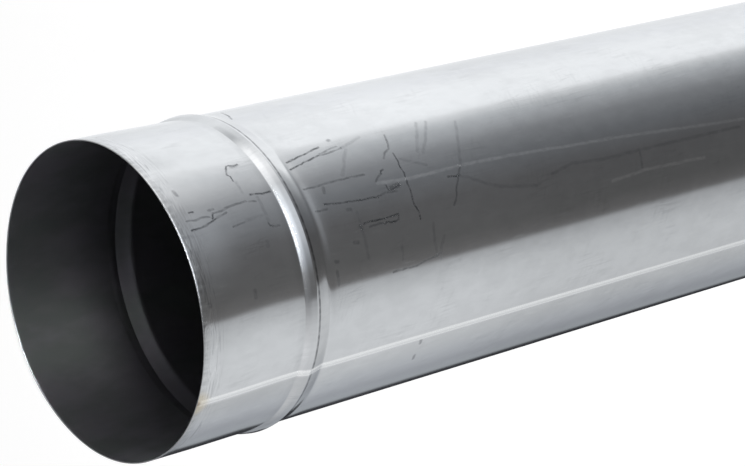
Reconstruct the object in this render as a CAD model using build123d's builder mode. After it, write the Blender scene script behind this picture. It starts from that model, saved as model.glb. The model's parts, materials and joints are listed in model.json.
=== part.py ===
from build123d import *
import os

# Chimney liner pipe: one stainless sheet rolled round and butt-welded along its length.
# One end is opened into a socket with a rolled bead behind it, and the other is drawn in
# as a spigot that fits the socket of the next pipe. Millimetres. The pipe stands on its
# spigot end at z = 0 with its mouth upwards, and +Z is its axis.

# Sheet and body
bore_diameter = 150.0      # inside of the body, the size the pipe is sold by
wall = 0.5                 # sheet thickness
length = 1000.0            # from rim to rim

# Socket: a calibrated band at the mouth, then a slight cone down to the body's own bore
joint_clearance = 0.05     # between a spigot and the socket round it, on the radius
band_length = 22.0
cone_length = 28.0
cone_bend_radius = 40.0    # the soft bends where a cone starts and ends
socket_depth = 59.0        # mouth rim to the foot of the bead

# Bead: a round face towards the mouth and a flatter, straight face behind it
bead_height = 1.75         # to the corner that the crest rounds off
bead_rise = 6.8            # foot to crest, on the mouth's side
bead_fall = 8.0            # crest to foot, on the body's side
knee_rise = 2.3            # the round face is steep as far as its knee
knee_height = 1.05
bead_foot_radius = 3.0
knee_radius = 9.0
crest_radius = 3.0
bead_back_radius = 12.0

# Weld: a low crown outside, rolled flat on the spigot so that it goes in
weld_width = 2.6
weld_height = 0.15
weld_angle = 112.5         # from +X, turned towards -Y

os.makedirs("parts", exist_ok=True)

# Radii from the axis, and stations along it from the mouth rim
body_radius = bore_diameter / 2 + wall
flare = wall + joint_clearance
band_radius = body_radius + flare
spigot_radius = body_radius - flare
crest = socket_depth + bead_rise
bead_end = crest + bead_fall
spigot_start = length - socket_depth + band_length

# In both planes x runs down the pipe from its mouth, and y outwards from its axis
mouth = (0, 0, length)
section_plane = Plane(origin=mouth, x_dir=(0, 0, -1), z_dir=(0, -1, 0))
across_weld = section_plane.z_dir.rotate(Axis.Z, -weld_angle)
weld_plane = Plane(origin=mouth, x_dir=(0, 0, -1), z_dir=across_weld)

# The outside, as stations and radii, with the radius of each bend between them
body_points = [
    (0, band_radius),
    (band_length, band_radius),
    (band_length + cone_length, body_radius),
    (socket_depth, body_radius),
    (socket_depth + knee_rise, body_radius + knee_height),
    (crest, body_radius + bead_height),
    (bead_end, body_radius),
    (spigot_start, body_radius),
]
body_bends = [
    cone_bend_radius,
    cone_bend_radius,
    bead_foot_radius,
    knee_radius,
    crest_radius,
    bead_back_radius,
]
spigot_points = [
    (spigot_start + cone_length, spigot_radius),
    (length, spigot_radius),
]
spigot_bends = [cone_bend_radius, cone_bend_radius]

with BuildPart() as liner_pipe:
    # the sheet's section, bead and cones included, revolved round the axis
    with BuildSketch(section_plane):
        with BuildLine():
            FilletPolyline(*body_points, *spigot_points, radius=body_bends + spigot_bends)
            offset(amount=wall, side=Side.RIGHT)
        make_face()
    revolve(axis=Axis.Z)

    # the weld's crown, rooted half-way into the sheet and swept down over the bead
    with BuildLine(weld_plane) as seam:
        FilletPolyline(*body_points, radius=body_bends)
    with BuildSketch(Plane(origin=seam.line @ 0, x_dir=across_weld, z_dir=(0, 0, 1))):
        with BuildLine():
            crown = ThreePointArc((-weld_width / 2, 0), (0, weld_height), (weld_width / 2, 0))
            Polyline(crown @ 1, (weld_width / 2, -wall / 2), (-weld_width / 2, -wall / 2), crown @ 0)
        make_face()
    sweep(path=seam.line, clean=False)

liner_pipe.part.label = "liner_pipe"
export_step(liner_pipe.part, "parts/liner_pipe.step")
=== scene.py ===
import bpy
import bmesh
import json
import math
from mathutils import Matrix, Vector, noise


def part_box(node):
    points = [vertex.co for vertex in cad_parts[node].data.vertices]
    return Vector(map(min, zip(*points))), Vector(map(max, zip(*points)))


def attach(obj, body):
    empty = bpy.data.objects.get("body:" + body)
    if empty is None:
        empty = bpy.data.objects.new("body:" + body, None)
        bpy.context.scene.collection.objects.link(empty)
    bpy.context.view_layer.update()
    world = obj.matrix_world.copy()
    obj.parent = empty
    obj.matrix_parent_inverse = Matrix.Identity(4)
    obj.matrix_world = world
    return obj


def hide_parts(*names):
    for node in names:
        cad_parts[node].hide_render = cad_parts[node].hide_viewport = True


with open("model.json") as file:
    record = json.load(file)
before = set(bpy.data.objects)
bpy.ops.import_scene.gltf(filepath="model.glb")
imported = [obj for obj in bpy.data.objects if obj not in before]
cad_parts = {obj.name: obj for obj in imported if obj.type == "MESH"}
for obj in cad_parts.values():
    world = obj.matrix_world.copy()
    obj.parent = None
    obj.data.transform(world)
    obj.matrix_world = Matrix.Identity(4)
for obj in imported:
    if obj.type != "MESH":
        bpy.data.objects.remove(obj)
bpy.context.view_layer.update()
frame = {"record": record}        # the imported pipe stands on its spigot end, with its mouth up
mounts = {mount["name"]: mount for mount in frame["record"]["mounts"]}

# Sizes here are in millimetres. A station runs down the pipe from the mouth's rim, and an
# angle runs round it from +X towards -Y, as the weld and the scratches are placed.
metre = 0.001


def linear(hexColour):
    channels = [int(hexColour[i:i + 2], 16) / 255 for i in (1, 3, 5)]
    return [c / 12.92 if c <= 0.04045 else ((c + 0.055) / 1.055) ** 2.4 for c in channels] + [1.0]


# Adds a shader node. An input is given by its name or number, as a value, a node or a socket.
def addNode(tree, kind, inputs=None, **settings):
    made = tree.nodes.new("ShaderNode" + kind)
    for name, value in settings.items():
        setattr(made, name, value)
    for name, value in (inputs or {}).items():
        if isinstance(value, bpy.types.Node):
            value = value.outputs[0]
        if isinstance(value, bpy.types.NodeSocket):
            tree.links.new(value, made.inputs[name])
        else:
            made.inputs[name].default_value = value
    return made


def newMaterial(name):
    material = bpy.data.materials.new(name)
    material.use_nodes = True
    material.node_tree.nodes.clear()
    return material, material.node_tree


def newObject(name, mesh):
    made = bpy.data.objects.new(name, mesh)
    bpy.context.scene.collection.objects.link(made)
    return made


def smoothStep(value, low, high):
    t = min(1, max(0, (value - low) / (high - low)))
    return t * t * (3 - 2 * t)


# The pipe's own shape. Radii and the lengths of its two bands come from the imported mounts.
lowCorner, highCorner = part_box("liner_pipe")
pipe = {
    "length": (highCorner.z - lowCorner.z) / metre,
    "bodyRadius": mounts["body"]["dims"]["r_mm"],
    "wall": mounts["body"]["dims"]["r_mm"] - mounts["flue"]["dims"]["r_mm"],
    "socketBore": mounts["socket"]["dims"]["r_mm"],
    "socketBand": mounts["socket"]["dims"]["length_mm"],
    "spigotRadius": mounts["spigot"]["dims"]["r_mm"],
    "spigotBand": mounts["spigot"]["dims"]["length_mm"],
    "coneLength": 28,
    "coneBend": 600,         # a long soft bend, as stretched sheet takes
    "beadFoot": 59.2,        # mouth rim to the bead
    "beadKnee": (2.1, 1.05),     # along and up from the foot
    "beadCrest": (5.9, 1.73),
    "beadCrease": (7.3, 1.43),   # the roller's edge left a short steep step behind the crest
    "beadLength": 14.6,
    "beadBends": (1.4, 9, 1.8, 1.5, 9),    # foot, knee, crest, crease and back
    "beadDip": (74.0, 3.2, 0.24),     # where the sheet pulled in behind it: station, spread and depth
    "edgeRound": 0.08,       # the cut edge of the sheet
    "weldAngle": 112.5,
    "weldWidth": 2.6,
    "weldHeight": 0.15,
    "weldRunOut": 3,         # how it ends where it is rolled flat for the spigot
    "roundFrom": 4,          # the mouth is out of round here, and round again at the bead
    "rippleHeight": 0.05,    # left by the shears along the rim
    "ripplePitch": 4.5,
    "rippleReach": 7,
    "waveHeight": 0.05,      # the sheet is never quite true
    "waveLength": 110,
    "waveDraw": 0.6,         # below 1 it is drawn out along the pipe
    "waveStart": 110,
    "waveEnd": (60, 30),     # from the spigot's rim
}
beadEnd = pipe["beadFoot"] + pipe["beadLength"]
spigotStart = pipe["length"] - pipe["spigotBand"] - pipe["coneLength"]
# How far the mouth is out of round: times round, height and where its first crest lies.
mouthWaves = [(1, 0.20, -8), (2, 0.29, -80), (3, 0.35, -8), (5, 0.08, 20), (6, 0.09, 5)]

# How fine the pipe's mesh is. Angles are in degrees. A zone is (where it ends, how far apart its
# rings are): close at the rim and the bead, wide along the plain body.
fineness = {
    "columnAngle": 1.5,
    "weldColumnAngle": 0.2,
    "bendAngle": 2.5,
    "ringZones": [(pipe["rippleReach"], 1.0), (pipe["beadFoot"] - 2, 2.5), (beadEnd + 4, 0.7),
                  (beadEnd + 10, 2.5), (math.inf, 12.0)],
    "columnShare": 0.6,      # shares of the spacing: a column or a ring that comes nearer than this
    "ringShare": 0.4,        # to a placed one is left out
}


# Turns corners (station, radius, bend radius) into points (station, radius, heading in radians).
def bendProfile(corners, arcStep):
    straightEnough = 1e-6
    points = []
    for i, (station, radius, bend) in enumerate(corners):
        here = Vector((station, radius))
        before = here - Vector(corners[i - 1][:2]) if i > 0 else None
        after = Vector(corners[i + 1][:2]) - here if i < len(corners) - 1 else None
        into = math.atan2(before.y, before.x) if before else math.atan2(after.y, after.x)
        out = math.atan2(after.y, after.x) if after else into
        turn = out - into
        if bend == 0 or abs(turn) < straightEnough:
            points.append((station, radius, into))
            continue
        reach = bend * math.tan(abs(turn) / 2)
        start = here - Vector((math.cos(into), math.sin(into))) * reach
        side = math.copysign(1, turn)
        centre = start + Vector((-math.sin(into), math.cos(into))) * bend * side
        steps = max(2, round(abs(turn) / math.radians(arcStep)))
        for k in range(steps + 1):
            heading = into + turn * k / steps
            spoke = Vector((math.sin(heading), -math.cos(heading))) * bend * side
            points.append((centre.x + spoke.x, centre.y + spoke.y, heading))
    return points


def ringSpacing(station):
    return next(spacing for end, spacing in fineness["ringZones"] if station < end)


def profileRings():
    body = pipe["bodyRadius"]
    foot = pipe["beadFoot"]
    coneEnd = pipe["socketBand"] + pipe["coneLength"]
    bends = pipe["beadBends"]
    corners = [
        (0, pipe["socketBore"] + pipe["wall"], 0),
        (pipe["socketBand"], pipe["socketBore"] + pipe["wall"], pipe["coneBend"]),
        (coneEnd, body, pipe["coneBend"]),
        (foot, body, bends[0]),
        (foot + pipe["beadKnee"][0], body + pipe["beadKnee"][1], bends[1]),
        (foot + pipe["beadCrest"][0], body + pipe["beadCrest"][1], bends[2]),
        (foot + pipe["beadCrease"][0], body + pipe["beadCrease"][1], bends[3]),
        (beadEnd, body, bends[4]),
        (spigotStart, body, 0),
        (pipe["length"] - pipe["spigotBand"], pipe["spigotRadius"], pipe["coneBend"]),
        (pipe["length"], pipe["spigotRadius"], 0),
    ]
    bent = bendProfile(corners, fineness["bendAngle"])
    rings = [bent[0]]
    for station, radius, heading in bent[1:]:
        last = rings[-1]
        straight = math.atan2(radius - last[1], station - last[0])
        along = last[0] + ringSpacing(last[0])
        while along < station - ringSpacing(along) * fineness["ringShare"]:
            rings.append((along, last[1] + (along - last[0]) * math.tan(straight), straight))
            along += ringSpacing(along)
        rings.append((station, radius, heading))
    return rings


def columnAngles():
    spacing = fineness["columnAngle"]
    fineSpacing = fineness["weldColumnAngle"]
    fine = round(pipe["weldWidth"] * 2 / pipe["bodyRadius"] / math.radians(fineSpacing))
    near = [pipe["weldAngle"] + (k - fine / 2) * fineSpacing for k in range(fine + 1)]
    far = [k * spacing for k in range(round(360 / spacing))]
    gap = spacing * fineness["columnShare"]
    return sorted(near + [a for a in far if not near[0] - gap < a < near[-1] + gap])


# How far the sheet itself stands out from its true profile, the same on both its faces.
def sheetOffset(station, angle):
    outOfRound = sum(h * math.cos(math.radians(n * angle - n * first)) for n, h, first in mouthWaves)
    outOfRound *= 1 - smoothStep(station, pipe["roundFrom"], pipe["beadFoot"])
    turned = math.radians(angle)
    around = Vector((math.cos(turned), math.sin(turned), 0)) * pipe["bodyRadius"]
    ripple = noise.noise(around / pipe["ripplePitch"]) * pipe["rippleHeight"]
    ripple *= 1 - smoothStep(station, 0, pipe["rippleReach"])
    place = around + Vector((0, 0, station * pipe["waveDraw"]))
    wave = noise.noise(place / pipe["waveLength"] * 2) * pipe["waveHeight"]     # two of its cells to a wave
    wave *= smoothStep(station, pipe["beadFoot"], pipe["waveStart"])
    fadeStart, fadeEnd = [pipe["length"] - fromRim for fromRim in pipe["waveEnd"]]
    wave *= 1 - smoothStep(station, fadeStart, fadeEnd)
    middle, spread, depth = pipe["beadDip"]
    dip = -depth * math.exp(-((station - middle) / spread) ** 2)
    return outOfRound + ripple + wave + dip


def weldCrown(station, angle):
    across = math.radians(angle - pipe["weldAngle"]) * pipe["bodyRadius"] / (pipe["weldWidth"] / 2)
    rolledFlat = smoothStep(station, spigotStart - pipe["weldRunOut"], spigotStart)
    return max(0, 1 - across * across) * pipe["weldHeight"] * (1 - rolledFlat)


def makeLinerPipe(materials):
    outsideSlot, boreSlot, edgeSlot = range(3)     # the order of its materials
    rings = profileRings()
    columns = columnAngles()
    cut = pipe["edgeRound"]
    shape = bmesh.new()

    def addRing(station, radius, depth, heading, outside):
        made = []
        for angle in columns:
            out = radius + sheetOffset(station, angle) - depth * math.cos(heading)
            out += weldCrown(station, angle) if outside else 0
            along = station + depth * math.sin(heading)
            turned = math.radians(angle)
            place = Vector((math.cos(turned) * out, -math.sin(turned) * out, pipe["length"] - along))
            made.append(shape.verts.new(place * metre))
        return made

    outer = []
    inner = []
    for i, (station, radius, heading) in enumerate(rings):
        atEnd = i in (0, len(rings) - 1)
        inward = cut if i == 0 else -cut
        if atEnd:
            edgeOuter = addRing(station, radius, cut, heading, True)
            edgeInner = addRing(station, radius, pipe["wall"] - cut, heading, False)
            outerRing = addRing(station + inward, radius, 0, heading, True)
            innerRing = addRing(station + inward, radius, pipe["wall"], heading, False)
            outer += [edgeOuter, outerRing] if i == 0 else [outerRing, edgeOuter]
            inner += [edgeInner, innerRing] if i == 0 else [innerRing, edgeInner]
            continue
        outer.append(addRing(station, radius, 0, heading, True))
        inner.append(addRing(station, radius, pipe["wall"], heading, False))

    # one closed loop of rings: down the outside, round the spigot's edge, up the bore, round the mouth's
    loop = outer + inner[::-1]
    lastOuter = len(outer) - 1
    edgeRings = (0, lastOuter - 1, lastOuter, lastOuter + 1, len(loop) - 2, len(loop) - 1)
    for i, ring in enumerate(loop):
        below = loop[(i + 1) % len(loop)]
        side = outsideSlot if i < lastOuter else boreSlot
        finish = edgeSlot if i in edgeRings else side
        for k in range(len(columns)):
            nextK = (k + 1) % len(columns)
            face = shape.faces.new((ring[k], ring[nextK], below[nextK], below[k]))
            face.smooth = True
            face.material_index = finish
    bmesh.ops.recalc_face_normals(shape, faces=shape.faces)
    mesh = bpy.data.meshes.new("linerPipe")
    shape.to_mesh(mesh)
    shape.free()
    for material in materials:
        mesh.materials.append(material)
    made = newObject("linerPipe", mesh)
    print("liner pipe:", len(rings), "rings,", len(columns), "columns,", len(mesh.polygons), "faces")
    return made


# Stainless steel sheet, grade 1.4404 (316L), cold rolled and skin-passed to the mill's 2B finish: a
# soft grey mirror, with a faint grain along the rolling and cloudy patches a few millimetres wide.
# The stainless values are typical of bare, passive steel.
sheetFinish = {
    "colour": "#DADBDC",
    "cloudColour": "#D3D4D5",
    "roughness": 0.12,
    "roughnessSpread": 0.03,
    "cloudSize": 7.0,            # patches left by the skin pass, drawn out along the rolling
    "cloudStretch": 1.6,
    "broadCloudSize": 45.0,
    "broadCloudStretch": 2.0,
    "cloudFade": (0.75, 1.25, 0.0, 1.0),     # a fade is two levels or stations, and the share at each
    "grainWidth": 1.1,           # rolling lines are really 0.05 wide, drawn as coarse as they show
    "grainLength": 70.0,
    "grainHeight": 0.0012,
    "pebbleSize": 5.0,
    "pebbleStretch": 1.5,
    "pebbleHeight": 0.0017,
    "rimRelief": (2.1, 7.0),     # the shears' fine ripple at the rim
    "rimPitch": 4.5,
    "rimStretch": 0.3,
    "rimHeight": 0.09,
    "hairlineLevel": 0.035,      # how wide a hairline is, as a level of its noise
    "rubbedSize": 26.0,          # patches where the hairlines show more
    "rubbedFade": (0.45, 0.7, 0.0, 1.0),
    "rolledReach": (3.0, 15.0),  # the hairlines round the rim
    "rimGrime": "#A2A3A4",
    "rimGrimeFade": (1.0, 4.5, 0.45, 0.0),
    "scuffColour": "#E4E5E5",    # pale rubbed patches, rougher than the sheet, and more of them at the rim
    "scuffSize": 2.2,
    "scuffDraw": 0.12,           # below 1 they are drawn out along the pipe
    "scuffAtRim": (1.0, 6.0, 0.22, 0.0),
    "scuffFade": (0.56, 0.85, 0.0, 1.0),
    "scuffStrength": 0.45,
    "scuffRoughness": 0.3,
    "creaseGrime": "#6E6F71",    # painted shade and grime in the crease behind the bead's crest
    "creaseStation": 66.6,
    "creaseReach": (0.35, 0.95),
    "creaseStrength": 0.8,
    "footGap": 0.4,              # and, fainter, painted shade in front of its foot
    "footStart": (-0.3, 0.3, 0.0, 1.0),
    "footReach": (0.5, 4.5),
    "footStrength": 0.1,
    "wobbleSize": 4.0,           # no scratch is quite straight
    "wobbleReach": 1.4,
    "wearSize": 3.5,             # nor the same all along
    "wearFade": (0.34, 0.6, 0.55, 1.0),
    "markRoughness": 0.2,
}
weldFinish = {
    "colour": "#FAFAF9",
    "roughness": 0.28,
    "halfWidth": 1.65,
    "edgeShares": (0.65, 1.35),  # of the half width, where it starts and ends to fade
    "shift": 0.45,               # the planished band lies a little to one side of the crown
    "ripplePitch": 1.4,
    "rippleHeight": 0.02,
    "rippleSlope": 0.8,          # each ripple is an arrow, which trails at its sides
    "haze": "#A8A9AA",           # painted shade, grey, along one side of it near the mouth
    "hazeAcross": (1.5, 3.5, 6.0, 16.0),
    "hazeAlong": (35.0, 90.0),
    "hazeLevel": 0.3,
    "tintReach": 6.0,
    # each colour of the heat tint: where it starts and ends to fade, as shares of the reach, and
    # its strength
    "tints": [("#D9C7A0", 0.5, 1.4, 0.45), ("#7A5A34", 0.1, 0.45, 0.6)],
}
# Marks on the sheet, as runs of (station, distance round from angle 0), both in millimetres.
marks = {
    "scored": {
        "colour": "#505256", "halfWidth": 0.14, "soft": 0.6, "strength": 0.85,
        "lines": [
            [(50.5, 40.6), (48, 41.2), (45.6, 40.3), (44, 40.4), (42.5, 42.6), (41, 45.2), (42.4, 46.6),
             (42, 49)],
            [(46.5, 58), (50, 58.2), (53, 58.9), (57.5, 58.6)],
            [(7.5, 68.6), (14, 68), (18, 67.1), (22, 65.8)],
            [(10.6, 59.8), (12.4, 60.1)],
            [(22, 62.7), (21.5, 63.8), (20.6, 65.2)],
            [(48.8, 73.2), (49, 74.6), (50.6, 75.1)],
            [(76, 45.7), (82, 44.6), (88, 43.3), (98.5, 41.3)],
            [(75.5, 50.1), (80, 49), (88, 47.4), (95, 46)],
            [(83, 71), (90, 71.8), (103, 73), (110, 73.1), (115, 73.7)],
            [(101.4, 84), (107, 83.8), (114, 84.1), (123, 83.7), (122.4, 86.1), (120.4, 86.6), (114.4, 86)],
            [(122, 69.2), (122.6, 71.7), (126, 71.1), (130.4, 70.1)],
            [(122.6, 62.9), (123.2, 61.6), (125, 61.1)],
            [(135.8, 54), (136, 58.2), (135.4, 60.2), (135.7, 65), (134.9, 70), (135.2, 74), (134, 79),
             (134.3, 82), (135.5, 85), (135.2, 88.4)],
            [(160, 72), (164, 72.6), (168, 72.9)],
            [(78.6, -5), (77.4, -1), (75.4, 4)],
        ],
    },
    "scratched": {
        "colour": "#6C6E71", "halfWidth": 0.16, "soft": 0.7, "strength": 0.65,
        "lines": [
            [(22.5, 62.8), (28, 62.4), (33, 61.2), (42.5, 60.8)],
            [(44, 61.2), (47.5, 61.8)],
            [(20.4, 61.2), (23.5, 60.8)],
            [(22, 65.8), (25, 64.8), (29.5, 63.8)],
            [(7, 63.8), (12, 64), (15, 63.5), (19.5, 64.2)],
            [(29.5, 71), (33, 70.6), (36.5, 70.2)],
            [(50.6, 75.1), (54, 75.6)],
            [(95, 46), (104, 45.6), (110, 44.6)],
            [(96, 45.2), (102, 44), (108, 43)],
            [(76, 61.6), (86, 61.4), (96, 61.2), (105, 61), (113, 61.4)],
            [(115, 73.2), (120, 72.4), (127, 73)],
            [(77, 73.2), (80, 73.6), (84, 73.2)],
            [(104, 86.2), (111, 85.8), (114, 86.6)],
            [(117.5, 66), (119, 64.8), (122.6, 62.9)],
            [(130.4, 70.1), (130, 69.3), (124, 70.4)],
            [(128.8, 55.5), (131, 53), (135, 51), (136.5, 48.5), (138.5, 43)],
            [(170.5, 68), (166.5, 73), (163, 78), (160, 84), (158, 86)],
            [(80.4, -10), (78.6, -5)],
            [(113, 109.4), (127.7, 109.6), (137.4, 107.8), (144, 106.7)],
        ],
    },
    "faint": {
        "colour": "#8B8D90", "halfWidth": 0.2, "soft": 1.2, "strength": 0.36,
        "lines": [
            [(1.5, 70.5), (6.5, 71.2)],
            [(38, 69.6), (48, 69.4)],
            [(43, 50), (43, 56)],
            [(49.5, 60), (49.3, 72)],
            [(110, 44.6), (118, 42.5), (124, 40.5)],
            [(138, 58), (143, 60.5), (151, 64)],
            [(183.5, 44), (179, 52), (174, 61), (170.5, 68)],
            [(167, 40.5), (158, 52), (153, 57)],
            [(161, 40), (150, 56)],
            [(112, 46), (107, 51), (104.5, 55), (101, 59)],
            [(99.5, 78), (99.3, 100)],
            [(142.3, 92), (141, 99), (141.4, 107)],
            [(147.5, 99), (144.5, 104), (143.5, 109)],
            [(120.5, 98.8), (119.9, 104.4)],
            [(225, 83), (240, 80.4), (262, 82.2), (300, 82.2), (365, 83)],
            [(288.5, 82), (287, 91)],
            [(168.5, 73.5), (172, 74.8), (178, 78), (186, 81.5), (192, 83.3), (200, 84.6), (213, 86.6)],
        ],
    },
    "smudged": {
        "colour": "#66686B", "halfWidth": 0.3, "soft": 1.2, "strength": 0.5,
        "lines": [
            [(46.5, 41.4), (50, 41)],
            [(123.2, 71.7), (126.5, 71.4), (130.2, 70.4)],
            [(94.5, 75.9), (96.6, 76.2)],
            [(9.2, 47.4), (9.6, 50)],
            [(44.5, 81.4), (44.1, 83)],
            [(4.8, 102), (5.2, 102.4)],
            [(31, 101), (31, 104)],
            [(98.6, 84.8), (99.6, 86)],
            [(93, 91.5), (95, 91.7)],
            [(80, 98), (81, 98.2)],
            [(79.8, 102.5), (79.8, 108.5)],
            [(86.8, 63), (86.2, 65.4)],
            [(106.2, 38.4), (106.8, 38.2)],
            [(136.2, 149.6), (137.2, 152.8)],
            [(137, 161), (137.6, 163.6)],
        ],
    },
    "rubbed": {
        "colour": "#F6F6F6", "halfWidth": 0.3, "soft": 1.0, "strength": 0.5,
        "lines": [
            [(118, 67.2), (140, 68.6), (170, 68), (200, 69), (230, 70.6), (290, 74), (330, 77),
             (370, 79.6)],
            [(264, 94), (290, 92.6), (333, 94)],
        ],
    },
}


# Where a point is, in millimetres: round the pipe, down it, on the unrolled sheet and in space.
def sheetPosition(tree):
    place = addNode(tree, "TexCoord").outputs["Object"]
    axes = addNode(tree, "SeparateXYZ", {0: place})
    flipped = multiply(tree, axes.outputs["Y"], -1.0)
    angle = addNode(tree, "Math", {0: flipped, 1: axes.outputs["X"]}, operation="ARCTAN2")
    around = multiply(tree, angle, pipe["bodyRadius"])
    down = addNode(tree, "Math", {0: axes.outputs["Z"], 1: -1 / metre, 2: pipe["length"]},
                   operation="MULTIPLY_ADD")
    flat = addNode(tree, "CombineXYZ", {"X": down, "Y": around, "Z": 0.0})
    solid = addNode(tree, "VectorMath", {0: place, 3: 1 / metre}, operation="SCALE")
    return {"around": around, "down": down, "flat": flat, "solid": solid}


# A patch of noise with features the given size. A stretch draws it out along the pipe.
def grain(tree, position, size, stretch=1.0, detail=2.0):
    scaled = addNode(tree, "VectorMath", {0: position, 1: (1 / size, 1 / size, 1 / size / stretch)},
                     operation="MULTIPLY")
    return addNode(tree, "TexNoise", {"Vector": scaled, "Scale": 1.0, "Detail": detail, "Roughness": 0.55})


# A soft step between two values, which are 1 at low and 0 at high unless they are given.
def fade(tree, value, low, high, fromValue=1.0, toValue=0.0):
    return addNode(tree, "MapRange", {"Value": value, "From Min": low, "From Max": high,
                                      "To Min": fromValue, "To Max": toValue},
                   interpolation_type="SMOOTHSTEP")


def multiply(tree, first, second):
    return addNode(tree, "Math", {0: first, 1: second}, operation="MULTIPLY")


def blendColours(tree, amount, first, second):
    mixed = addNode(tree, "Mix", {0: amount, 6: first, 7: second}, data_type="RGBA")
    return mixed.outputs[2]


# How far a point is from the nearest of the lines, in millimetres.
def distanceToLines(tree, flat, lines):
    nearest = None
    for line in lines:
        for start, end in zip(line, line[1:]):
            run = Vector((end[0] - start[0], end[1] - start[1], 0))
            offset = addNode(tree, "VectorMath", {0: flat, 1: (*start, 0)}, operation="SUBTRACT")
            along = addNode(tree, "VectorMath", {0: offset, 1: run / run.length_squared},
                            operation="DOT_PRODUCT")
            held = addNode(tree, "Clamp", {0: along.outputs["Value"]})
            back = addNode(tree, "VectorMath", {0: -run, 3: held}, operation="SCALE")
            apart = addNode(tree, "VectorMath", {0: offset, 1: back}, operation="ADD")
            gap = addNode(tree, "VectorMath", {0: apart}, operation="LENGTH").outputs["Value"]
            if nearest is None:
                nearest = gap
            else:
                nearest = addNode(tree, "Math", {0: nearest, 1: gap}, operation="MINIMUM")
    return nearest


noiseMiddle = 0.5     # a noise's mean level


# Thin lines drawn out one way: the level lines of a stretched noise. A turn is in degrees from the
# pipe's length, and the sizes are in millimetres.
def hairlines(tree, flat, turn, width, length):
    turned = addNode(tree, "VectorRotate", {"Vector": flat, "Angle": math.radians(turn)},
                     rotation_type="Z_AXIS")
    stretched = addNode(tree, "VectorMath", {0: turned, 1: (1 / length, 1 / width, 1.0)},
                        operation="MULTIPLY")
    noiseLevel = addNode(tree, "TexNoise", {"Vector": stretched, "Scale": 1.0, "Detail": 1.0})
    fromMiddle = addNode(tree, "Math", {0: noiseLevel, 1: noiseMiddle}, operation="SUBTRACT")
    level = addNode(tree, "Math", {0: fromMiddle}, operation="ABSOLUTE")
    return fade(tree, level, 0.0, sheetFinish["hairlineLevel"])


# Sets of hairlines: how far each is turned, how far apart its lines are, how long they run, their
# strength and their colour. Those of the rim run round it, from rolling it.
hairlineRuns = [(3, 3, 50, 0.14, "#85878A"), (68, 4, 25, 0.08, "#85878A")]
rimRuns = [(90, 1.8, 30, 0.35, "#77797C"), (86, 2.2, 22, 0.3, "#F8F8F8")]


# What makes a scratch look drawn by hand: a position that wobbles, and a share that it is worn to.
def handDrawn(tree, sheet):
    wobble = grain(tree, sheet["flat"], sheetFinish["wobbleSize"])
    shifted = addNode(tree, "VectorMath", {0: wobble.outputs["Color"], 1: (noiseMiddle, noiseMiddle, 0)},
                      operation="SUBTRACT")
    reach = sheetFinish["wobbleReach"]
    drawn = addNode(tree, "VectorMath", {0: shifted, 1: (reach, reach, 0), 2: sheet["flat"]},
                    operation="MULTIPLY_ADD")
    wear = fade(tree, grain(tree, sheet["flat"], sheetFinish["wearSize"]), *sheetFinish["wearFade"])
    return drawn, wear


def millFinish(tree, sheet):
    clouds = grain(tree, sheet["solid"], sheetFinish["cloudSize"], sheetFinish["cloudStretch"], detail=3.0)
    broad = grain(tree, sheet["solid"], sheetFinish["broadCloudSize"], sheetFinish["broadCloudStretch"])
    both = addNode(tree, "Math", {0: clouds, 1: broad}, operation="ADD")
    cloudy = fade(tree, both, *sheetFinish["cloudFade"])
    colour = blendColours(tree, cloudy, linear(sheetFinish["colour"]), linear(sheetFinish["cloudColour"]))
    spread = sheetFinish["roughnessSpread"]
    roughness = addNode(tree, "Math", {0: broad, 1: spread, 2: sheetFinish["roughness"] - spread / 2},
                        operation="MULTIPLY_ADD")
    return colour, roughness


# Hairline scuffs: along the pipe and across it in the patches that were rubbed most, and at the rim.
def addHairlines(tree, sheet, colour):
    patches = fade(tree, grain(tree, sheet["flat"], sheetFinish["rubbedSize"], detail=3.0),
                   *sheetFinish["rubbedFade"])
    atRim = fade(tree, sheet["down"], *sheetFinish["rolledReach"])
    for runs, where in ((hairlineRuns, patches), (rimRuns, atRim)):
        for turn, width, length, strength, tone in runs:
            mask = multiply(tree, hairlines(tree, sheet["flat"], turn, width, length), where)
            colour = blendColours(tree, multiply(tree, mask, strength), colour, linear(tone))
    return colour


# Grime on the rim, and pale scuffs: drawn along the pipe, and thick along the rim.
def addScuffs(tree, sheet, colour, roughness):
    grime = fade(tree, sheet["down"], *sheetFinish["rimGrimeFade"])
    colour = blendColours(tree, grime, colour, linear(sheetFinish["rimGrime"]))
    nearRim = fade(tree, sheet["down"], *sheetFinish["scuffAtRim"])
    drawnOut = addNode(tree, "VectorMath", {0: sheet["flat"], 1: (sheetFinish["scuffDraw"], 1.0, 1.0)},
                       operation="MULTIPLY")
    scuffNoise = grain(tree, drawnOut, sheetFinish["scuffSize"], detail=3.0)
    scuffLevel = addNode(tree, "Math", {0: scuffNoise, 1: nearRim}, operation="ADD")
    scuff = multiply(tree, fade(tree, scuffLevel, *sheetFinish["scuffFade"]), sheetFinish["scuffStrength"])
    colour = blendColours(tree, scuff, colour, linear(sheetFinish["scuffColour"]))
    roughness = addNode(tree, "Mix", {0: scuff, 2: roughness, 3: sheetFinish["scuffRoughness"]},
                        data_type="FLOAT")
    return colour, roughness
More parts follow.
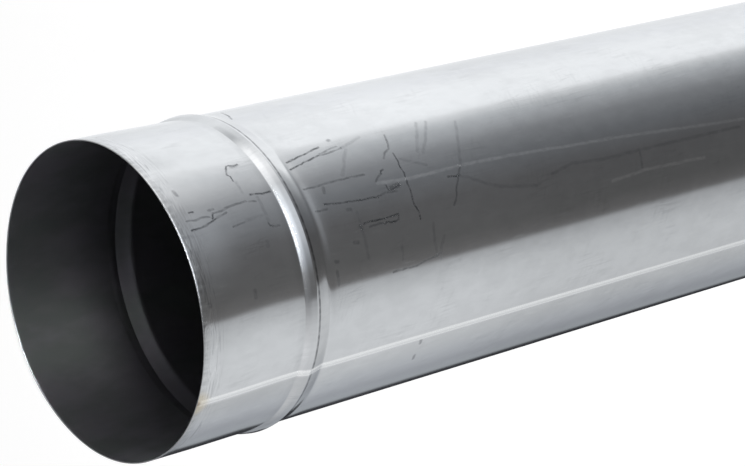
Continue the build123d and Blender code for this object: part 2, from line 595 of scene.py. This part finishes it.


# Painted shade with grime: a thin dark line in the bead's crease, and a faint painted shade in front of its
# foot.
def addBeadShadeAndGrime(tree, sheet, wear, colour):
    # painted shade and grime: a thin dark line along the bead's crease
    fromCrease = addNode(tree, "Math", {0: sheet["down"], 1: sheetFinish["creaseStation"]},
                         operation="SUBTRACT")
    creaseGap = addNode(tree, "Math", {0: fromCrease}, operation="ABSOLUTE")
    creaseShadeMask = multiply(tree, fade(tree, creaseGap, *sheetFinish["creaseReach"]),
                          multiply(tree, wear, sheetFinish["creaseStrength"]))
    colour = blendColours(tree, creaseShadeMask, colour, linear(sheetFinish["creaseGrime"]))
    # painted shade: a faint darkening just in front of the bead's foot
    beforeFoot = addNode(tree, "Math", {0: pipe["beadFoot"] - sheetFinish["footGap"], 1: sheet["down"]},
                         operation="SUBTRACT")
    atFoot = multiply(tree, fade(tree, beforeFoot, *sheetFinish["footStart"]),
                      fade(tree, beforeFoot, *sheetFinish["footReach"]))
    footShadeMask = multiply(tree, atFoot, sheetFinish["footStrength"])
    return blendColours(tree, footShadeMask, colour, linear(sheetFinish["creaseGrime"]))


def addMarks(tree, drawn, wear, colour, roughness):
    for mark in marks.values():
        distance = distanceToLines(tree, drawn, mark["lines"])
        drawnMask = fade(tree, distance, mark["halfWidth"], mark["halfWidth"] + mark["soft"])
        mask = multiply(tree, multiply(tree, drawnMask, wear), mark["strength"])
        colour = blendColours(tree, mask, colour, linear(mark["colour"]))
        roughness = addNode(tree, "Math", {0: mask, 1: sheetFinish["markRoughness"], 2: roughness},
                            operation="MULTIPLY_ADD")
    return colour, roughness


# The weld: bright where the root was planished, with a spot of heat tint at the mouth.
def addWeld(tree, sheet, colour, roughness):
    weldMiddle = math.radians(pipe["weldAngle"]) * pipe["bodyRadius"] + weldFinish["shift"]
    fromWeld = addNode(tree, "Math", {0: sheet["around"], 1: weldMiddle}, operation="SUBTRACT")
    acrossWeld = addNode(tree, "Math", {0: fromWeld}, operation="ABSOLUTE")
    # painted shade: a grey band along one side of the weld, fading away from the mouth
    near, nearFull, farFull, far = weldFinish["hazeAcross"]
    beside = multiply(tree, fade(tree, fromWeld, near, nearFull, 0.0, 1.0),
                      fade(tree, fromWeld, farFull, far))
    haze = multiply(tree, beside,
                    fade(tree, sheet["down"], *weldFinish["hazeAlong"], weldFinish["hazeLevel"], 0.0))
    colour = blendColours(tree, haze, colour, linear(weldFinish["haze"]))
    edgeStart, edgeEnd = [weldFinish["halfWidth"] * share for share in weldFinish["edgeShares"]]
    weldMask = fade(tree, acrossWeld, edgeStart, edgeEnd)
    colour = blendColours(tree, weldMask, colour, linear(weldFinish["colour"]))
    roughness = addNode(tree, "Mix", {0: weldMask, 2: roughness, 3: weldFinish["roughness"]},
                        data_type="FLOAT")
    tintRound = addNode(tree, "CombineXYZ", {"X": sheet["down"], "Y": fromWeld})
    tintDistance = addNode(tree, "VectorMath", {0: tintRound}, operation="LENGTH").outputs["Value"]
    reach = weldFinish["tintReach"]
    for tone, start, end, strength in weldFinish["tints"]:
        tint = multiply(tree, fade(tree, tintDistance, reach * start, reach * end), strength)
        colour = blendColours(tree, tint, colour, linear(tone))
    return colour, roughness, acrossWeld, weldMask


# Relief: rolling grain, the faint pebble of the skin pass, the sheared rim and the weld's ripples.
def sheetRelief(tree, sheet, acrossWeld, weldMask):
    lines = grain(tree, sheet["solid"], sheetFinish["grainWidth"], sheetFinish["grainLength"], detail=3.0)
    pebbles = grain(tree, sheet["solid"], sheetFinish["pebbleSize"], sheetFinish["pebbleStretch"],
                    detail=1.0)
    height = multiply(tree, lines, sheetFinish["grainHeight"] * metre)
    height = addNode(tree, "Math", {0: pebbles, 1: sheetFinish["pebbleHeight"] * metre, 2: height},
                     operation="MULTIPLY_ADD")
    rimMask = fade(tree, sheet["down"], *sheetFinish["rimRelief"])
    rimRipple = grain(tree, sheet["solid"], sheetFinish["rimPitch"], sheetFinish["rimStretch"])
    height = addNode(tree, "Math", {0: multiply(tree, rimRipple, rimMask),
                                    1: sheetFinish["rimHeight"] * metre, 2: height},
                     operation="MULTIPLY_ADD")
    chevron = addNode(tree, "Math", {0: acrossWeld, 1: weldFinish["rippleSlope"], 2: sheet["down"]},
                      operation="MULTIPLY_ADD")
    phase = multiply(tree, chevron, 2 * math.pi / weldFinish["ripplePitch"])
    weldRipple = multiply(tree, addNode(tree, "Math", {0: phase}, operation="SINE"), weldMask)
    return addNode(tree, "Math", {0: weldRipple, 1: weldFinish["rippleHeight"] * metre, 2: height},
                   operation="MULTIPLY_ADD")


def bareMetal(tree, colour, roughness, height=None):
    look = {"Base Color": colour, "Metallic": 1.0, "Roughness": roughness}
    if height is not None:
        look["Normal"] = addNode(tree, "Bump", {"Height": height, "Strength": 1.0, "Distance": 1.0})
    addNode(tree, "OutputMaterial", {"Surface": addNode(tree, "BsdfPrincipled", look)})


def coldRolledStainless():
    material, tree = newMaterial("coldRolledStainless2B")
    sheet = sheetPosition(tree)
    drawn, wear = handDrawn(tree, sheet)
    colour, roughness = millFinish(tree, sheet)
    colour = addHairlines(tree, sheet, colour)
    colour, roughness = addScuffs(tree, sheet, colour, roughness)
    colour = addBeadShadeAndGrime(tree, sheet, wear, colour)
    colour, roughness = addMarks(tree, drawn, wear, colour, roughness)
    colour, roughness, acrossWeld, weldMask = addWeld(tree, sheet, colour, roughness)
    bareMetal(tree, colour, roughness, sheetRelief(tree, sheet, acrossWeld, weldMask))
    return material


# The same sheet's other face, in the bore: duller, as handled and dusty, and never buffed. Its colour is
# darker than the outside's, partly dust and partly painted shade for the dim bore.
boreFinishAndShade = {
    # darker than the outside's colour: dust, and painted shade in the bore
    "colour": "#9D9BA2",
    "cloudColour": "#8B8F8E",
    "cloudSize": 20.0,
    "cloudStretch": 2.0,
    "cloudFade": (0.35, 0.65, 0.0, 1.0),
    "roughness": 0.36,
    "roughnessSpread": 0.12,
    "grainWidth": 1.3,
    "grainLength": 60.0,
    "grainHeight": 0.002,
}


def boreSideStainless():
    material, tree = newMaterial("boreSideStainless2B")
    sheet = sheetPosition(tree)
    clouds = grain(tree, sheet["solid"], boreFinishAndShade["cloudSize"], boreFinishAndShade["cloudStretch"], detail=3.0)
    cloudy = fade(tree, clouds, *boreFinishAndShade["cloudFade"])
    # the bore's darker colour is partly painted shade
    colour = blendColours(tree, cloudy, linear(boreFinishAndShade["colour"]), linear(boreFinishAndShade["cloudColour"]))
    spread = boreFinishAndShade["roughnessSpread"]
    roughness = addNode(tree, "Math", {0: clouds, 1: spread, 2: boreFinishAndShade["roughness"] - spread / 2},
                        operation="MULTIPLY_ADD")
    lines = grain(tree, sheet["solid"], boreFinishAndShade["grainWidth"], boreFinishAndShade["grainLength"], detail=3.0)
    bareMetal(tree, colour, roughness, multiply(tree, lines, boreFinishAndShade["grainHeight"] * metre))
    return material


# The sheet's cut edge: bare metal, torn by the shears into fine patches.
edgeFinish = {"colour": "#9A9B9B", "shadeColour": "#66676A", "roughness": 0.34, "patchSize": 0.8}


def shearedEdge():
    material, tree = newMaterial("shearedStainlessEdge")
    sheet = sheetPosition(tree)
    patches = grain(tree, sheet["solid"], edgeFinish["patchSize"])
    colour = blendColours(tree, patches, linear(edgeFinish["colour"]), linear(edgeFinish["shadeColour"]))
    bareMetal(tree, colour, edgeFinish["roughness"])
    return material


linerPipe = makeLinerPipe([coldRolledStainless(), boreSideStainless(), shearedEdge()])
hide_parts("liner_pipe")
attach(linerPipe, "root")

# The studio. The floor and the world are plain and pale. What the metal mirrors is a round glowing cove
# that only reflections see, its glow painted light and shade: pale to one side, dark where the room is,
# greyer behind.
studio = {
    "floorColour": "#F0F0F0",
    "floorRoughness": 0.4,
    "floorSize": 16.0,           # this dictionary is in metres
    "backgroundLift": 0.2,
    "worldLevel": 0.72,
    "keySize": 1.6,
    "keyPlace": (-0.6, -0.5, 2.4),
    "keyPower": 26.0,
    "coveInner": 0.09,           # it starts just outside the pipe
    "coveLift": 0.004,           # and just above the floor
    "coveRadius": 0.72,
    "coveCorner": 0.12,
    "coveHeight": 1.6,
    "coveTop": 2.2,
    "coveColumns": 96,
    "coveBendSteps": 8,
    "coveStrength": 1.67,
    # azimuth from +X towards -Y in degrees, and the cove's painted glow there, once round from the seam
    "seam": -104,
    "lowTones": [(-104, "#CACCCE"), (-80, "#C6C8CA"), (-58, "#D0D2D5"), (-38, "#DCDEE0"), (-10, "#DEE0E2"),
                 (-7, "#C8CACC"), (2, "#A5A8AB"), (20, "#75777A"), (36, "#5D5F62"), (56, "#4D4D4E"),
                 (84, "#4E4E4E"), (97, "#5A5959"), (99, "#97999B"), (116, "#B3B5B7"), (132, "#B9BBBD"),
                 (152, "#B8BABC"), (164, "#AEB0B2"), (180, "#9FA2A6"), (196, "#888B90"), (212, "#868A8E"),
                 (217, "#27282B"), (240, "#27282B"), (248, "#8C8E90"), (256, "#CACCCE")],
    "highTones": [(-104, "#BABCBE"), (-68, "#BABCBE"), (-38, "#D0D2D4"), (-18, "#A4A6A8"), (-4, "#EAEBEC"),
                  (8, "#F6F6F7"), (22, "#C6C8CA"), (42, "#DEE3E9"), (60, "#DADFE6"), (72, "#ACB1B8"),
                  (82, "#727375"), (96, "#656668"), (112, "#A5A6A8"), (132, "#C3C4C6"), (152, "#B1B2B4"),
                  (172, "#B0B1B3"), (192, "#86888B"), (215, "#797B7F"), (245, "#8C8E90"), (256, "#BABCBE")],
    "toneHeights": (0.28, 0.94),     # the high tones come in over these heights
    "slantTurns": (18, 80),          # but between these azimuths they come in higher and higher
    "toneSlant": 0.19,
    "lowerHeights": (0.12, 0.30),    # the painted glow is greyer below and above its middle
    "lowerShades": (0.05, 0.15),     # on its pale side and round the rest
    "lowerTurns": (-20, 0),
    "upperHeights": (0.48, 0.62),
    "upperShade": 0.9,
    "topTone": "#B2B3B5",
    "topHeights": (1.10, 1.20),
    "footTone": 0.5,                 # close round the pipe the cove lies in its shade
    "footReach": (0.28, 0.42),
    "footHeights": (0.0, 0.2),
    # a side lamp just above the mouth's level: where it starts, is full, wanes and ends, in turns
    # from the seam and in heights
    "panelTurns": (0.35, 0.40, 0.43, 0.52),
    "panelHeights": (1.12, 1.20, 1.27, 1.42),
    "panelLevel": 36.0,
    "panelSpill": 0.035,             # its light on the ceiling
}


# Degrees of azimuth as a share of the turn that starts at the cove's seam.
def fromSeam(degrees):
    return (degrees - studio["seam"]) / 360


def roundTones(tree, azimuth, tones):
    ramp = addNode(tree, "ValToRGB", {0: azimuth})
    stops = ramp.color_ramp.elements
    while len(stops) < len(tones):
        stops.new(0.5)     # anywhere, as each gets its place below
    for stop, (degrees, tone) in zip(stops, tones):
        stop.position = fromSeam(degrees)
        stop.color = linear(tone)
    return ramp.outputs["Color"]


def reflectorCloth():
    material, tree = newMaterial("reflectorCloth")
    place = addNode(tree, "TexCoord").outputs["Object"]
    axes = addNode(tree, "SeparateXYZ", {0: place})
    flipped = multiply(tree, axes.outputs["Y"], -1.0)
    angle = addNode(tree, "Math", {0: flipped, 1: axes.outputs["X"]}, operation="ARCTAN2")
    turns = addNode(tree, "Math", {0: angle, 1: 1 / (2 * math.pi), 2: fromSeam(0)},
                    operation="MULTIPLY_ADD")
    azimuth = addNode(tree, "Math", {0: turns}, operation="FRACT")
    # the cove's glow is painted light and shade: tones round it, greyer at its bottom and top, and darker
    # close round the pipe as painted shade
    low = roundTones(tree, azimuth, studio["lowTones"])
    high = roundTones(tree, azimuth, studio["highTones"])
    slantStart, slantEnd = [fromSeam(degrees) for degrees in studio["slantTurns"]]
    slant = addNode(tree, "MapRange", {"Value": azimuth, "From Min": slantStart, "From Max": slantEnd,
                                       "To Min": 0.0, "To Max": -studio["toneSlant"]})
    height = addNode(tree, "Math", {0: slant, 1: axes.outputs["Z"]}, operation="ADD")
    rising = fade(tree, height, *studio["toneHeights"], 0.0, 1.0)
    upperShade = fade(tree, axes.outputs["Z"], *studio["upperHeights"], 1.0, studio["upperShade"])
    low = addNode(tree, "VectorMath", {0: low, 3: upperShade}, operation="SCALE")
    tone = blendColours(tree, rising, low, high)
    toTop = fade(tree, axes.outputs["Z"], *studio["topHeights"], 0.0, 1.0)
    tone = blendColours(tree, toTop, tone, linear(studio["topTone"]))
    lower = fade(tree, axes.outputs["Z"], *studio["lowerHeights"])
    lowerTurns = [fromSeam(degrees) for degrees in studio["lowerTurns"]]
    lowerShade = multiply(tree, lower, fade(tree, azimuth, *lowerTurns, *studio["lowerShades"]))
    outward = addNode(tree, "VectorMath", {0: place, 1: (1, 1, 0)}, operation="MULTIPLY")
    radius = addNode(tree, "VectorMath", {0: outward}, operation="LENGTH").outputs["Value"]
    foot = fade(tree, radius, *studio["footReach"], studio["footTone"], 1.0)
    onFloor = fade(tree, axes.outputs["Z"], *studio["footHeights"])
    shade = addNode(tree, "Mix", {0: onFloor, 2: 1.0, 3: foot}, data_type="FLOAT")
    shade = multiply(tree, shade, addNode(tree, "Math", {0: 1.0, 1: lowerShade}, operation="SUBTRACT"))
    strength = multiply(tree, shade, studio["coveStrength"])
    glow = addNode(tree, "Emission", {"Color": tone, "Strength": strength})
    lamp = sideLamp(tree, azimuth, axes.outputs["Z"])
    addNode(tree, "OutputMaterial", {"Surface": addNode(tree, "AddShader", {0: glow, 1: lamp})})
    return material


def sideLamp(tree, azimuth, height):
    start, full, waning, end = studio["panelTurns"]
    across = multiply(tree, fade(tree, azimuth, start, full, 0.0, 1.0), fade(tree, azimuth, waning, end))
    bottom, risen, falling, top = studio["panelHeights"]
    upward = multiply(tree, fade(tree, height, bottom, risen, 0.0, 1.0),
                      fade(tree, height, falling, top, 1.0, studio["panelSpill"]))
    level = multiply(tree, multiply(tree, across, upward), studio["panelLevel"])
    return addNode(tree, "Emission", {"Strength": level})


def makeCove():
    corner = studio["coveCorner"]
    side = studio["coveRadius"]
    floor = studio["coveLift"]
    wallTop = studio["coveHeight"]
    dome = studio["coveTop"] - wallTop
    steps = studio["coveBendSteps"]
    bends = [math.radians(90 * k / steps) for k in range(steps + 1)]
    outline = [(studio["coveInner"], floor)]
    outline += [(side - corner * (1 - math.sin(b)), floor + corner * (1 - math.cos(b))) for b in bends]
    outline += [(side * math.cos(b), wallTop + dome * math.sin(b)) for b in bends]
    shape = bmesh.new()
    columns = studio["coveColumns"]
    turns = [2 * math.pi * k / columns for k in range(columns)]
    rows = []
    for radius, z in outline[:-1]:     # the last would be a point, and one face closes the top
        rows.append([shape.verts.new((radius * math.cos(t), radius * math.sin(t), z)) for t in turns])
    for lower, upper in zip(rows, rows[1:]):
        for k in range(columns):
            after = (k + 1) % columns
            shape.faces.new((lower[k], lower[after], upper[after], upper[k])).smooth = True
    shape.faces.new(rows[-1])
    mesh = bpy.data.meshes.new("reflectorCove")
    shape.to_mesh(mesh)
    shape.free()
    mesh.materials.append(reflectorCloth())
    cove = newObject("reflectorCove", mesh)
    cove.visible_camera = False
    cove.visible_diffuse = False
    cove.visible_transmission = False
    cove.visible_shadow = False
    cove.visible_volume_scatter = False


# 1 for the rays that see the background: the camera's, and those mirrored or let through on the way.
def seesBackground(tree):
    rays = addNode(tree, "LightPath")
    seen = addNode(tree, "Math", {0: rays.outputs["Is Camera Ray"], 1: rays.outputs["Is Glossy Ray"]},
                   operation="MAXIMUM")
    return addNode(tree, "Math", {0: seen, 1: rays.outputs["Is Transmission Ray"]}, operation="MAXIMUM")


def makeStudio():
    half = studio["floorSize"] / 2
    mesh = bpy.data.meshes.new("studioFloor")
    corners = [(-half, -half, 0), (half, -half, 0), (half, half, 0), (-half, half, 0)]
    mesh.from_pydata(corners, [], [(0, 1, 2, 3)])
    material, tree = newMaterial("paleFloor")
    matt = addNode(tree, "BsdfDiffuse", {"Color": linear(studio["floorColour"]),
                                         "Roughness": studio["floorRoughness"]})
    lift = multiply(tree, seesBackground(tree), studio["backgroundLift"])
    glow = addNode(tree, "Emission", {"Color": linear("#FFFFFF"), "Strength": lift})
    addNode(tree, "OutputMaterial", {"Surface": addNode(tree, "AddShader", {0: matt, 1: glow})})
    mesh.materials.append(material)
    floor = newObject("studioFloor", mesh)

    world = bpy.data.worlds.new("paleRoom")
    world.use_nodes = True
    tree = world.node_tree
    tree.nodes.clear()
    level = addNode(tree, "Mix", {0: seesBackground(tree), 2: studio["worldLevel"], 3: 1.0},
                    data_type="FLOAT")
    sky = addNode(tree, "Background", {"Color": linear("#FFFFFF"), "Strength": level})
    addNode(tree, "OutputWorld", {"Surface": sky})
    bpy.context.scene.world = world

    key = bpy.data.lights.new("overheadSoftbox", "AREA")
    key.shape = "SQUARE"
    key.size = studio["keySize"]
    key.energy = studio["keyPower"]
    lamp = newObject("overheadSoftbox", key)
    lamp.location = studio["keyPlace"]
    lamp.rotation_euler = (-lamp.location).to_track_quat("-Z", "Y").to_euler()
    lamp.visible_glossy = False


# The camera looks into the mouth from above and to one side. It is rolled over, because the pipe in
# the photograph lies on its side: up in the picture is +X.
camera = {
    "fromMouth": (0.38164, -0.94886, 0.68119),    # in metres, from the middle of the mouth
    "pitch": 16.67,     # degrees
    "heading": 48.2,
    "lens": 128.87,     # millimetres
    "sensor": 36.0,
    "nearClip": 0.05,
}


def makeCamera():
    pitch = math.radians(camera["pitch"])
    heading = math.radians(camera["heading"])
    right = Vector((0, -math.cos(heading), -math.sin(heading)))
    tilt = math.sin(pitch)
    up = Vector((math.cos(pitch), tilt * math.sin(heading), -tilt * math.cos(heading)))
    back = right.cross(up)
    lens = bpy.data.cameras.new("photoCamera")
    lens.lens = camera["lens"]
    lens.sensor_width = camera["sensor"]
    lens.clip_start = camera["nearClip"]
    made = newObject("photoCamera", lens)
    turned = Matrix((right, up, back)).transposed().to_4x4()
    mouthMiddle = Vector((0, 0, pipe["length"] * metre))
    made.matrix_world = Matrix.Translation(mouthMiddle + Vector(camera["fromMouth"])) @ turned
    bpy.context.scene.camera = made


makeCove()
makeStudio()
makeCamera()
bpy.context.scene.view_settings.view_transform = "Standard"
print("studio and camera: done")
